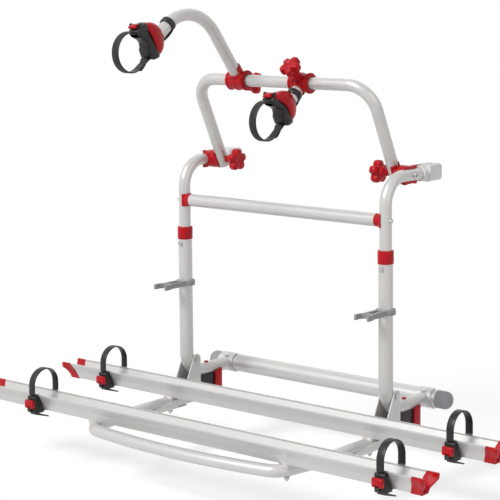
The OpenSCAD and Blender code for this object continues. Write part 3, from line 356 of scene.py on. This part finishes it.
def finished(mesh, name):
    """The mesh data of a bmesh, with its faces outward and smooth."""
    bmesh.ops.recalc_face_normals(mesh, faces=mesh.faces)
    data = bpy.data.meshes.new(name)
    mesh.to_mesh(data)
    mesh.free()
    data.shade_smooth()
    return data


def middle(node):
    low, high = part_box(node)
    return (low + high) / 2


def block(low, high, at=lambda *corner: Vector(corner)):
    """A plain block between two corners, which at() places, as a tool to cut with."""
    (x0, y0, z0), (x1, y1, z1) = low, high
    mesh = bmesh.new()
    skin(mesh, [[at(x, y, z) for x, y in ((x0, y0), (x1, y0), (x1, y1), (x0, y1))]
                for z in (z0, z1)])
    return bpy.data.objects.new("cutter", finished(mesh, "cutter"))


def cut_away(piece, tools, overlapping=False):
    """Takes the tools out of a piece, whose shells may overlap, and deletes them."""
    for tool in tools:
        cut = piece.modifiers.new("cut", "BOOLEAN")
        cut.operation = "DIFFERENCE"
        cut.use_self = overlapping
        cut.object = tool
    work_in(piece)
    keep_sharp(piece, SHAPED_FROM)
    for tool in tools:
        bpy.data.objects.remove(tool)


# Arm clamps

# A flange at each end of the clamp covers its liner but for a thin dark rim at the bar. Its
# section goes round as (out of the clamp's end, radius from the bar's axis).
FLANGE_SECTION = ((-0.0010, 0.0152), (0.0024, 0.0152), (0.0030, 0.0158), (0.0030, 0.0206),
                  (0.0022, 0.0216), (-0.0010, 0.0216))


def arm_clamp(arm):
    clamp = moulded(arm + "_clamp")
    axis = middle(arm + "_liner")
    low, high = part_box(arm + "_clamp")
    mesh = bmesh.new()
    mesh.from_mesh(clamp.data)
    for end, side in ((low.x, -1), (high.x, 1)):
        rings = [[Vector((end + side * out, axis.y + r * math.cos(a), axis.z + r * math.sin(a)))
                  for a in circle(RING_POINTS)] for out, r in FLANGE_SECTION]
        before = set(mesh.faces)
        skin(mesh, rings + [rings[0]], close_ends=False)
        bmesh.ops.recalc_face_normals(mesh, faces=[f for f in mesh.faces if f not in before])
    bmesh.ops.remove_doubles(mesh, verts=mesh.verts, dist=JOIN)
    mesh.to_mesh(clamp.data)
    mesh.free()
    clamp.data.shade_smooth()
    keep_sharp(clamp, TURNED_FROM)


for arm in ("long_arm", "short_arm"):
    arm_clamp(arm)


# Seats of the hoop's legs

# The seats grip the tube from its outer side: they reach this far in from their outer faces
# and are open towards the knobs
SEAT_REACH = 0.0105
CUT_MARGIN = 0.003


def leg_seats():
    seats = moulded("hoop_leg_ends")
    low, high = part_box("hoop_leg_ends")
    margin = Vector((0, CUT_MARGIN, CUT_MARGIN))
    cut_away(seats, [block(Vector((low.x + SEAT_REACH, low.y, low.z)) - margin,
                           Vector((high.x - SEAT_REACH, high.y, high.z)) + margin)])


leg_seats()


# Rail end caps

# Half of the outline outside and inside, as (across, up from the foot of the rail)
CAP_OUTSIDE = ((0, -0.0016), (0.0100, -0.0016), (0.0113, -0.0008), (0.0142, 0.0085),
               (0.0176, 0.0178), (0.0233, 0.0266), (0.0283, 0.0342), (0.0291, 0.0362),
               (0.0291, 0.0382), (0.0285, 0.0390))
CAP_INSIDE = ((0, 0.0036), (0.0078, 0.0036), (0.0090, 0.0045), (0.0104, 0.0110),
              (0.0122, 0.0184), (0.0172, 0.0275), (0.0214, 0.0340), (0.0222, 0.0358),
              (0.0227, 0.0380), (0.0233, 0.0390))
# Widening of both outlines at the outer end, where the lips stand upright, point by point
CAP_WIDENING = (0, 0, 0, 0.0004, 0.0012, 0.0050, 0.0018, 0.0010, 0.0002, 0)
# The shares of a cap's length between which it widens
CAP_BEND = (0.45, 0.75)
# How far behind its outermost point a cap starts and ends at its foot, and how far both lean
# out up to its top
CAP_START = 0.042
CAP_END = 0.014
CAP_LEAN = 0.014
CAP_TOP = 0.039
# The heights between which the outer end curves out
CAP_CURVE = (0.004, 0.027)
CAP_STATIONS = 10
CAP_ROUNDING = 0.0009


def share_of(value, low, high):
    """How far a value is on its way from low to high, held between 0 and 1."""
    return min(1, max(0, (value - low) / (high - low)))


def mirrored(half):
    """A whole outline from its right half, which starts on the middle line."""
    return [(-y, z) for y, z in half[:0:-1]] + half


def cap_ring(tip, side, share):
    """The section at a share of a cap's length; the tip is its outermost point, at foot level."""
    bend = share_of(share, *CAP_BEND)
    outside, inside = ([(y + bend * more, z) for (y, z), more in zip(half, CAP_WIDENING)]
                       for half in (CAP_OUTSIDE, CAP_INSIDE))
    ring = []
    for y, z in mirrored(outside) + mirrored(inside)[::-1]:
        rise = share_of(z, *CAP_CURVE)
        start = CAP_LEAN * max(0, z) / CAP_TOP - CAP_START
        end = CAP_LEAN * rise * rise * (3 - 2 * rise) - CAP_END
        ring.append(tip + Vector((side * (start + (end - start) * share), y, z)))
    return ring


def rail_caps():
    mesh = bmesh.new()
    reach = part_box("rail_end_caps")[1].x
    for rail in ("rail_front", "rail_rear"):
        low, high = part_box(rail)
        for side in (-1, 1):
            tip = Vector((side * reach, (low.y + high.y) / 2, low.z))
            rings = [cap_ring(tip, side, i / CAP_STATIONS) for i in range(CAP_STATIONS + 1)]
            rows = skin(mesh, rings, close_ends=False)
            half = len(rings[0]) // 2
            for row in (rows[0], rows[-1]):
                for i in range(half - 1):
                    mesh.faces.new((row[i], row[i + 1], row[-i - 2], row[-i - 1]))
    piece = stand_in("shaped_", "rail_end_caps", finished(mesh, "rail_end_caps"))
    bevelled(piece, CAP_ROUNDING, SHAPED_FROM)


rail_caps()


# Star knobs

# From the work outward, as (distance along the axis, radius, share of the lobes)
KNOB_PROFILE = ((-0.004, 0.0038, 0), (0, 0.0038, 0), (0.0002, 0.0095, 0), (0.001, 0.0108, 0),
                (0.006, 0.0108, 0), (0.0072, 0.012, 0), (0.0078, 0.0155, 0.45),
                (0.009, 0.0178, 0.8), (0.011, 0.0187, 1), (0.0165, 0.0189, 1),
                (0.0215, 0.0187, 1), (0.0238, 0.0178, 0.85), (0.0252, 0.0155, 0.5),
                (0.0257, 0.012, 0.1), (0.0257, 0.0098, 0), (0.0247, 0.009, 0),
                (0.0246, 0.004, 0))
KNOB_LOBES = 5
KNOB_LOBE_DEPTH = 0.0044
# The higher this power, the narrower the valleys between the lobes
KNOB_VALLEY_POWER = 5
KNOB_POINTS = 80
NECK_R = 0.0078


def sloped(turn):
    """The direction that rises by an angle from straight ahead, which is -Y."""
    return Vector((0, -math.cos(turn), math.sin(turn)))


def star_knob(node, base, axis, size, neck=0.0):
    """A knob on its axis; a neck of the given length joins a larger one to what it clamps."""
    side = Vector((0, 0, 1)) if axis.x else Vector((1, 0, 0))
    across = axis.cross(side)
    profile = [(out * size + neck, radius * size, share * size)
               for out, radius, share in KNOB_PROFILE]
    if neck:
        profile[:2] = [(0, NECK_R, 0), (neck, NECK_R, 0)]
    rings = []
    for out, radius, share in profile:
        ring = []
        for turn in circle(KNOB_POINTS):
            wave = 1 - abs(math.sin(KNOB_LOBES * turn / 2)) ** KNOB_VALLEY_POWER
            r = radius + share * KNOB_LOBE_DEPTH * (2 * wave - 1)
            ring.append(base + axis * out + (side * math.cos(turn) + across * math.sin(turn)) * r)
        rings.append(ring)
    mesh = bmesh.new()
    skin(mesh, rings)
    stand_in("star_", node, finished(mesh, node))


# How many degrees the axis of each arm knob rises from straight ahead, and how far from the
# axis of the hoop's bar its skirt starts
KNOB_SLOPES = {"long_arm": 190, "short_arm": 43}
KNOB_SEAT = 0.0384
ARM_KNOB_SIZE = 1.1
# The tilt knobs are larger than the arm knobs and stand on a neck that starts inside the
# hoop's leg
TILT_KNOB_SIZE = 1.16
TILT_NECK = 0.0155
TILT_NECK_SUNK = 0.0075

for arm, slope in KNOB_SLOPES.items():
    axis = sloped(math.radians(slope))
    star_knob(arm + "_knob", middle(arm + "_liner") + axis * KNOB_SEAT, axis, ARM_KNOB_SIZE)
for side, sign in (("left", 1), ("right", -1)):
    low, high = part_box("tilt_knob_" + side)
    base = middle("tilt_knob_" + side)
    base.x = low.x if sign > 0 else high.x
    axis = Vector((sign, 0, 0))
    star_knob("tilt_knob_" + side, base - axis * TILT_NECK_SUNK, axis, TILT_KNOB_SIZE, TILT_NECK)


# Frame clamp heads, in the frame of the head: x across, f forward and u up from the tube's end

# How many degrees the end of each arm tube rises from straight ahead, and how many more its
# head does
TUBE_END_SLOPES = {"long_arm": -37.5, "short_arm": -41}
HEAD_TILT = 14
# Corners of the tube within this depth of its far end are its rim
RIM_DEPTH = 0.0001


class Head:
    """The directions of an arm's head, from the middle of its tube's end."""

    def __init__(self, arm):
        slope = math.radians(TUBE_END_SLOPES[arm])
        turn = slope + math.radians(HEAD_TILT)
        self.arm = arm
        self.tube = sloped(slope)
        self.forward = sloped(turn)
        self.up = Vector((0, math.sin(turn), math.cos(turn)))
        corners = [v.co for v in nodes[arm + "_tube"].data.vertices]
        far = max(c.dot(self.tube) for c in corners)
        rim = [c for c in corners if c.dot(self.tube) > far - RIM_DEPTH]
        self.end = sum(rim, Vector()) / len(rim)

    def at(self, x, f, u):
        return self.end + Vector((x, 0, 0)) + self.forward * f + self.up * u

    def add(self, mesh, part):
        node = self.arm + "_" + part
        return stand_in("shaped_", node, finished(mesh, node))


def oval(count, half_x, half_y, power):
    """Points round a rounded oblong: power 2 is an ellipse, and a high one is nearly a box."""
    points = []
    for turn in circle(count):
        c, s = math.cos(turn), math.sin(turn)
        points.append((half_x * math.copysign(abs(c) ** (2 / power), c),
                       half_y * math.copysign(abs(s) ** (2 / power), s)))
    return points


def between(table, at):
    """Linear value from rows of (place, value)."""
    for (a, low), (b, high) in zip(table, table[1:]):
        if at <= b:
            return low + (high - low) * max(0, at - a) / (b - a)
    return table[-1][1]


# The red shell is the back of an egg, cut at a seam that leans forward at the top
SHELL_TIP = -0.006
SHELL_FULL = 0.030
SHELL_SEAM = 0.039
SHELL_HALF_W = 0.022
SHELL_TOP = 0.042
SHELL_LOW = -0.039
SHELL_RINGS = 14
SHELL_POINTS = 48
SHELL_POWER = 2.5
# Its mouth turns in by this much and this deep
LIP_INSET = 0.0018
LIP_DEPTH = 0.004
SEAM_LEAN = 0.06
# The short arm's shell is a hood over its jaw: how fast its seam curves forward above the middle
SEAM_HOODS = {"long_arm": 0, "short_arm": 15}


def seam_shift(head, u):
    return SEAM_LEAN * u + SEAM_HOODS[head.arm] * max(0, u) ** 2


def head_shell(head):
    """Ovals that grow from the tip to the seam, and one that turns in at the mouth."""
    quarter = [math.pi / 2 * i / SHELL_RINGS for i in range(1, SHELL_RINGS + 1)]
    stations = [(math.sin(a), SHELL_FULL - (SHELL_FULL - SHELL_TIP) * math.cos(a))
                for a in quarter]
    stations.append((1, SHELL_SEAM))
    tall = (SHELL_TOP - SHELL_LOW) / 2
    centre = (SHELL_TOP + SHELL_LOW) / 2
    rings = []
    for full, f in stations:
        share = (f - SHELL_TIP) / (SHELL_SEAM - SHELL_TIP)
        rings.append([head.at(x, f + share * seam_shift(head, u), centre * full + u)
                      for x, u in oval(SHELL_POINTS, SHELL_HALF_W * full, tall * full,
                                       SHELL_POWER)])
    rings.append([head.at(x, SHELL_SEAM - LIP_DEPTH + seam_shift(head, u), centre + u)
                  for x, u in oval(SHELL_POINTS, SHELL_HALF_W - LIP_INSET, tall - LIP_INSET,
                                   SHELL_POWER)])
    mesh = bmesh.new()
    skin(mesh, rings)
    head.add(mesh, "shell")


# The black jaw: rows of (height, front) and (height, half width)
JAW_FRONT = ((-0.0385, 0.043), (-0.037, 0.050), (-0.033, 0.0555), (-0.028, 0.0572),
             (-0.012, 0.0570), (-0.0095, 0.0558), (-0.0080, 0.0525), (0.004, 0.0505),
             (0.013, 0.056), (0.021, 0.064), (0.028, 0.0705), (0.035, 0.0735), (0.041, 0.072),
             (0.0445, 0.067), (0.046, 0.060))
JAW_HALF_W = ((-0.0385, 0.015), (-0.036, 0.0185), (-0.030, 0.0205), (-0.008, 0.0205),
              (0.004, 0.0195), (0.018, 0.0175), (0.030, 0.0165), (0.041, 0.016),
              (0.0445, 0.0145), (0.046, 0.012))
JAW_BACK = 0.031
JAW_LEAST_DEPTH = 0.008
JAW_ROWS = 44
JAW_POINTS = 40
JAW_POWER = 4
SLOT_HALF_W = 0.0108
# Cut out of the jaw are the strap's upper and lower slots and the seat of the lever, each as
# ((back, low), (front, high))
JAW_CUTS = (((0.052, 0.0235), (0.090, 0.0345)), ((0.045, -0.060), (0.0535, -0.027)),
            ((0.050, 0.044), (0.090, 0.060)))
# The pin of the lever, as (forward, up), and the boss round it on each cheek of the jaw, as
# (out from the middle, radius)
PIN_AT = (0.057, 0.049)
BOSS_SECTION = ((0.0111, 0.0042), (0.0118, 0.005), (0.0152, 0.005), (0.0160, 0.0042))
BOSS_POINTS = 24


def round_pin(head, r, x, count):
    """A ring about the lever's pin."""
    return [head.at(x, PIN_AT[0] + r * math.cos(a), PIN_AT[1] + r * math.sin(a))
            for a in circle(count)]


def head_jaw(head):
    mesh = bmesh.new()
    rows = []
    low, high = JAW_FRONT[0][0], JAW_FRONT[-1][0]
    for i in range(JAW_ROWS + 1):
        u = low + (high - low) * (0.5 - 0.5 * math.cos(math.pi * i / JAW_ROWS))
        front, half = between(JAW_FRONT, u), between(JAW_HALF_W, u)
        back = min(JAW_BACK + seam_shift(head, u), front - JAW_LEAST_DEPTH)
        rows.append([head.at(x, (front + back) / 2 + f, u)
                     for x, f in oval(JAW_POINTS, half, (front - back) / 2, JAW_POWER)])
    skin(mesh, rows)
    for side in (-1, 1):
        skin(mesh, [round_pin(head, r, side * x, BOSS_POINTS) for x, r in BOSS_SECTION])
    piece = head.add(mesh, "jaw")
    cutters = [block((-SLOT_HALF_W, *inner), (SLOT_HALF_W, *outer), head.at)
               for inner, outer in JAW_CUTS]
    cut_away(piece, cutters, overlapping=True)


# The red lever on the jaw, as rows of (forward, low, high), and the pin that carries it
LEVER_ROWS = ((0.0535, 0.0475, 0.0508), (0.0545, 0.0465, 0.0522), (0.0570, 0.0458, 0.0530),
              (0.0620, 0.0462, 0.0536), (0.0670, 0.0468, 0.0536), (0.0700, 0.0470, 0.0526),
              (0.0712, 0.0480, 0.0514))
LEVER_HALF_W = 0.0098
LEVER_POINTS = 32
LEVER_POWER = 5
PIN_R = 0.0018
PIN_HALF = 0.014
PIN_POINTS = 16


def head_lever(head):
    mesh = bmesh.new()
    skin(mesh, [[head.at(x, f, (low + high) / 2 + u)
                 for x, u in oval(LEVER_POINTS, LEVER_HALF_W, (high - low) / 2, LEVER_POWER)]
                for f, low, high in LEVER_ROWS])
    skin(mesh, [round_pin(head, PIN_R, x, PIN_POINTS) for x in (-PIN_HALF, PIN_HALF)])
    keep_sharp(head.add(mesh, "lever"), TURNED_FROM)


# The black ring on the arm tube: how far behind the tube's end it starts, and its section as
# (along the tube, radius)
COLLAR_STARTS = {"long_arm": -0.044, "short_arm": -0.0235}
COLLAR_EDGE = 0.0012
COLLAR_R = 0.0176
COLLAR_SECTION = ((0, 0.0139), (0.0002, 0.0166), (COLLAR_EDGE, COLLAR_R), (0.0128, COLLAR_R),
                  (0.0138, 0.0166), (0.0140, 0.0139))
# The link that runs under the tube from the ring to the head, and where it ends in the head
LINK_HALF_W = 0.006
LINK_T = 0.0032
LINK_ENDS = {"long_arm": 0.004, "short_arm": 0.010}
LINK_STATIONS = 8
LINK_POINTS = 20
LINK_POWER = 4


def head_collar(head):
    across = Vector((1, 0, 0))
    side = head.tube.cross(across)
    begin, end = COLLAR_STARTS[head.arm], LINK_ENDS[head.arm]
    start = head.end + head.tube * begin
    rings = [[start + head.tube * out + (across * math.cos(a) + side * math.sin(a)) * r
              for a in circle(RING_POINTS)] for out, r in COLLAR_SECTION]
    down = side if side.z < 0 else -side
    rows = []
    for i in range(LINK_STATIONS + 1):
        along = COLLAR_EDGE + begin + (end - begin) * i / LINK_STATIONS
        sag = LINK_T * math.sin(math.pi * i / LINK_STATIONS)
        rows.append([head.end + head.tube * along + down * (COLLAR_R - LINK_T / 2 + sag + t)
                     + across * x for x, t in oval(LINK_POINTS, LINK_HALF_W, LINK_T / 2,
                                                   LINK_POWER)])
    mesh = bmesh.new()
    skin(mesh, rings + [rings[0]], close_ends=False)
    skin(mesh, rows)
    bmesh.ops.remove_doubles(mesh, verts=mesh.verts, dist=JOIN)
    keep_sharp(head.add(mesh, "collar"), TURNED_FROM)


# The strap leaves the upper slot, follows its circle and comes back to the lower slot
LOOP_CENTRE = (0.098, 0.004)
LOOP_R = 0.0437
STRAP_IN = (0.056, 0.030)
STRAP_BACK = (0.050, -0.031)
STRAP_HALF_W = 0.010
STRAP_HALF_T = 0.0013
STRAIGHT_STEPS = 8
# A tooth takes four steps along the strap, and stands up over the middle two
TOOTH_PITCH = 0.003
TOOTH_RISE = 0.0006
TOOTH_STEPS = 4
TOOTH_TOP = (1, 2)
# The free end lies outside the loop, between these two angles in degrees
FREE_FROM, FREE_TO = 222, 262
FREE_R = LOOP_R + 3 * STRAP_HALF_T
FREE_HALF_T = 1.2 * STRAP_HALF_T
FREE_STEPS = 12


def touch(point, over_top):
    """The angle at which a line from a point meets the strap's circle."""
    f, u = point[0] - LOOP_CENTRE[0], point[1] - LOOP_CENTRE[1]
    opening = math.acos(LOOP_R / math.hypot(f, u))
    return math.atan2(u, f) + (-opening if over_top else opening)


def on_loop(angle, r=LOOP_R):
    return LOOP_CENTRE[0] + r * math.cos(angle), LOOP_CENTRE[1] + r * math.sin(angle)


def straight(a, b):
    """Points from a towards b, without b."""
    shares = [i / STRAIGHT_STEPS for i in range(STRAIGHT_STEPS)]
    return [(a[0] + (b[0] - a[0]) * s, a[1] + (b[1] - a[1]) * s) for s in shares]


def band(mesh, head, path, half_t=STRAP_HALF_T, teeth=False):
    """A flat band along points (f, u) in the head's middle plane, with teeth on its outside."""
    edge = half_t / 2
    rings = []
    for i, (f, u) in enumerate(path):
        a, b = path[max(0, i - 1)], path[min(len(path) - 1, i + 1)]
        length = math.hypot(b[0] - a[0], b[1] - a[1])
        nf, nu = (a[1] - b[1]) / length, (b[0] - a[0]) / length
        rise = TOOTH_RISE if teeth and i % TOOTH_STEPS in TOOTH_TOP else 0
        section = ((-STRAP_HALF_W, -edge), (-STRAP_HALF_W + edge, -half_t),
                   (STRAP_HALF_W - edge, -half_t), (STRAP_HALF_W, -edge), (STRAP_HALF_W, edge),
                   (STRAP_HALF_W - edge, half_t), (STRAP_HALF_W - 3 * edge, half_t + rise),
                   (3 * edge - STRAP_HALF_W, half_t + rise), (-STRAP_HALF_W + edge, half_t),
                   (-STRAP_HALF_W, edge))
        rings.append([head.at(x, f + nf * n, u + nu * n) for x, n in section])
    skin(mesh, rings)


def head_strap(head):
    start, end = touch(STRAP_IN, True), touch(STRAP_BACK, False)
    while start < end:
        start += 2 * math.pi
    steps = round((start - end) * LOOP_R / TOOTH_PITCH * TOOTH_STEPS)
    arc = [on_loop(start + (end - start) * i / steps) for i in range(steps + 1)]
    closed = straight(STRAP_IN, arc[0]) + arc + straight(arc[-1], STRAP_BACK)[1:] + [STRAP_BACK]
    free = [on_loop(math.radians(FREE_TO + (FREE_FROM - FREE_TO) * i / FREE_STEPS), FREE_R)
            for i in range(FREE_STEPS + 1)]
    mesh = bmesh.new()
    band(mesh, head, closed, teeth=True)
    band(mesh, head, free, FREE_HALF_T)
    keep_sharp(head.add(mesh, "strap"), SHAPED_FROM)


for arm in ("long_arm", "short_arm"):
    head = Head(arm)
    head_shell(head)
    head_jaw(head)
    head_strap(head)
    head_lever(head)
    head_collar(head)


# The stage: a pale floor under the carrier, a white background and soft lamps

FLOOR_DROP = 0.10
FLOOR_SIZE = 30
BACKGROUND = (1.0, 1.0, 1.0)
WORLD_LIGHT = 0.16
# To the camera the floor shows half its shaded colour and a plain glow, which add up to white
# where no shadow falls
FLOOR_COLOUR = (0.9, 0.9, 0.9)
FLOOR_SHARE = 0.5
FLOOR_GLOW = 0.67


def seen_plainly(tree):
    """1 for what the camera sees, directly, in a reflection or through glass, and otherwise 0."""
    path = tree.nodes.new("ShaderNodeLightPath")
    socket = path.outputs["Is Camera Ray"]
    for other in ("Is Glossy Ray", "Is Transmission Ray"):
        either = tree.nodes.new("ShaderNodeMath")
        either.operation = "MAXIMUM"
        tree.links.new(socket, either.inputs[0])
        tree.links.new(path.outputs[other], either.inputs[1])
        socket = either.outputs[0]
    return socket


def show(tree, lighting, plain, output):
    """Shows one shader to the camera and lights the object by another."""
    pick = tree.nodes.new("ShaderNodeMixShader")
    tree.links.new(seen_plainly(tree), pick.inputs["Fac"])
    tree.links.new(lighting.outputs[0], pick.inputs[1])
    tree.links.new(plain.outputs[0], pick.inputs[2])
    tree.links.new(pick.outputs[0], tree.nodes[output].inputs["Surface"])


def make_world():
    world = bpy.data.worlds.new("studio")
    scene.world = world
    world.use_nodes = True
    tree = world.node_tree
    light = tree.nodes["Background"]
    light.inputs["Color"].default_value = (1, 1, 1, 1)
    light.inputs["Strength"].default_value = WORLD_LIGHT
    plain = tree.nodes.new("ShaderNodeBackground")
    plain.inputs["Color"].default_value = (*BACKGROUND, 1)
    show(tree, light, plain, "World Output")


def floor_material():
    material, tree, shader = new_material("pale_floor")
    shader.inputs["Base Color"].default_value = (*FLOOR_COLOUR, 1)
    shader.inputs["Roughness"].default_value = 1.0
    shader.inputs["Specular IOR Level"].default_value = 0.0
    shade = tree.nodes.new("ShaderNodeBsdfDiffuse")
    shade.inputs["Color"].default_value = (*tone(FLOOR_COLOUR, FLOOR_SHARE), 1)
    glow = tree.nodes.new("ShaderNodeEmission")
    glow.inputs["Strength"].default_value = FLOOR_GLOW
    blend = tree.nodes.new("ShaderNodeAddShader")
    tree.links.new(shade.outputs[0], blend.inputs[0])
    tree.links.new(glow.outputs[0], blend.inputs[1])
    show(tree, shader, blend, "Material Output")
    return material


def make_floor():
    floor = bpy.data.objects.new("floor", bpy.data.meshes.new("floor"))
    sheet = bmesh.new()
    bmesh.ops.create_grid(sheet, x_segments=1, y_segments=1, size=FLOOR_SIZE / 2)
    sheet.to_mesh(floor.data)
    sheet.free()
    floor.location = (0, 0, cad_box[0][2] - FLOOR_DROP)
    scene.collection.objects.link(floor)
    floor.data.materials.append(floor_material())


LAMPS = (("key", -15, 42, 2.25, 20), ("fill", 85, 20, 0.45, 50), ("back", 200, 35, 0.3, 60))


def make_lamp(name, azimuth, elevation, strength, size):
    light = bpy.data.lights.new(name, "SUN")
    light.energy = strength
    light.angle = math.radians(size)
    lamp = bpy.data.objects.new(name, light)
    scene.collection.objects.link(lamp)
    a, e = math.radians(azimuth), math.radians(elevation)
    back = Vector((math.sin(a) * math.cos(e), -math.cos(a) * math.cos(e), math.sin(e)))
    lamp.rotation_euler = back.to_track_quat("Z", "Y").to_euler()


make_world()
make_floor()
for lamp in LAMPS:
    make_lamp(*lamp)

scene.view_settings.view_transform = "Standard"
